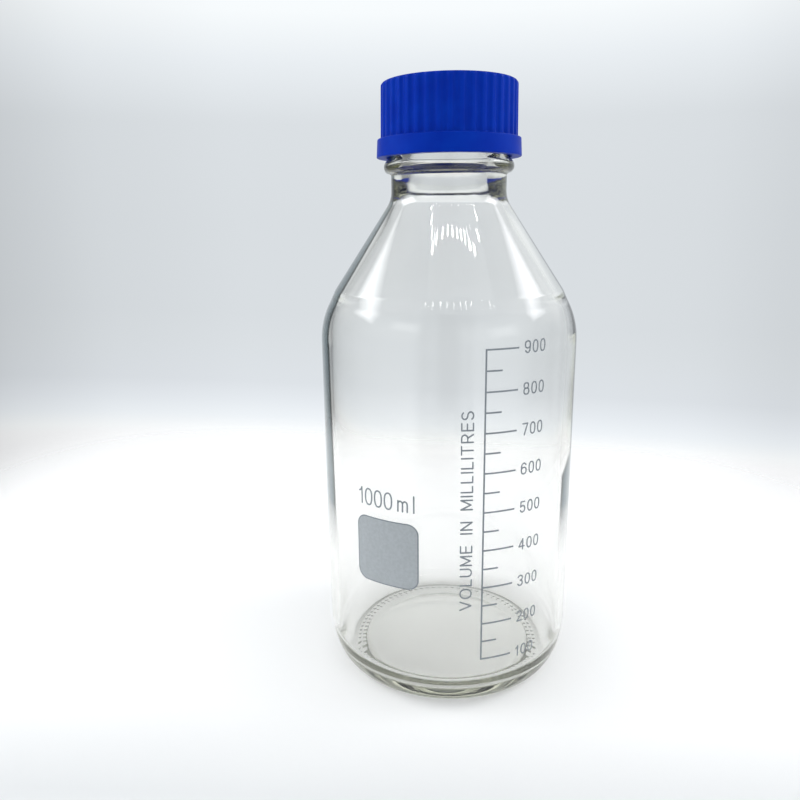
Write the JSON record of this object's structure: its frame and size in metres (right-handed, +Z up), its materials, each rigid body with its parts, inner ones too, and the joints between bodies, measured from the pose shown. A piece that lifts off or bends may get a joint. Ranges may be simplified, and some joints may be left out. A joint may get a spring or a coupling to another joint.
{
  "type": "round glass media bottle",
  "caption": "Round clear glass media bottle with a printed volume scale, a pouring ring and a ribbed blue screw cap.",
  "frame": {"origin": "centre of the base, on the surface the bottle stands on", "axes": "+Z up the bottle's axis, -Y towards the printed side, +X to the right of the print"},
  "size_m": [0.1, 0.1, 0.228],
  "materials": {
    "glass": "clear moulded glass with a faint green tint in its thick places",
    "cap_plastic": "semi-gloss royal blue moulded polypropylene",
    "ring_plastic": "semi-gloss royal blue moulded polypropylene",
    "liner_rubber": "white soft sealing sheet",
    "enamel_field": "light grey fired enamel, satin",
    "enamel_line": "mid grey fired enamel, satin"
  },
  "bodies": {
    "bottle": {"glass_bottle": "glass", "pouring_ring": "ring_plastic", "marking_field": "enamel_field", "marking_border": "enamel_line", "graduation_scale": "enamel_line"},
    "liner": {"cap_liner": "liner_rubber"},
    "cap": {"screw_cap": "cap_plastic"}
  },
  "joints": [
    {"name": "cap_lift", "type": "slide", "parent": "bottle", "child": "liner", "axis": [0, 0, 1], "range_m": [0, 0.02801]},
    {"name": "cap_turn", "type": "hinge", "parent": "liner", "child": "cap", "pos_m": [0, 0, 0.215], "axis": [0, 0, 1], "range_deg": [0, 2520]}
  ],
  "couplings": [
    {"joint": "cap_lift", "follows": "cap_turn", "m_per_rad": 0.00063662}
  ]
}
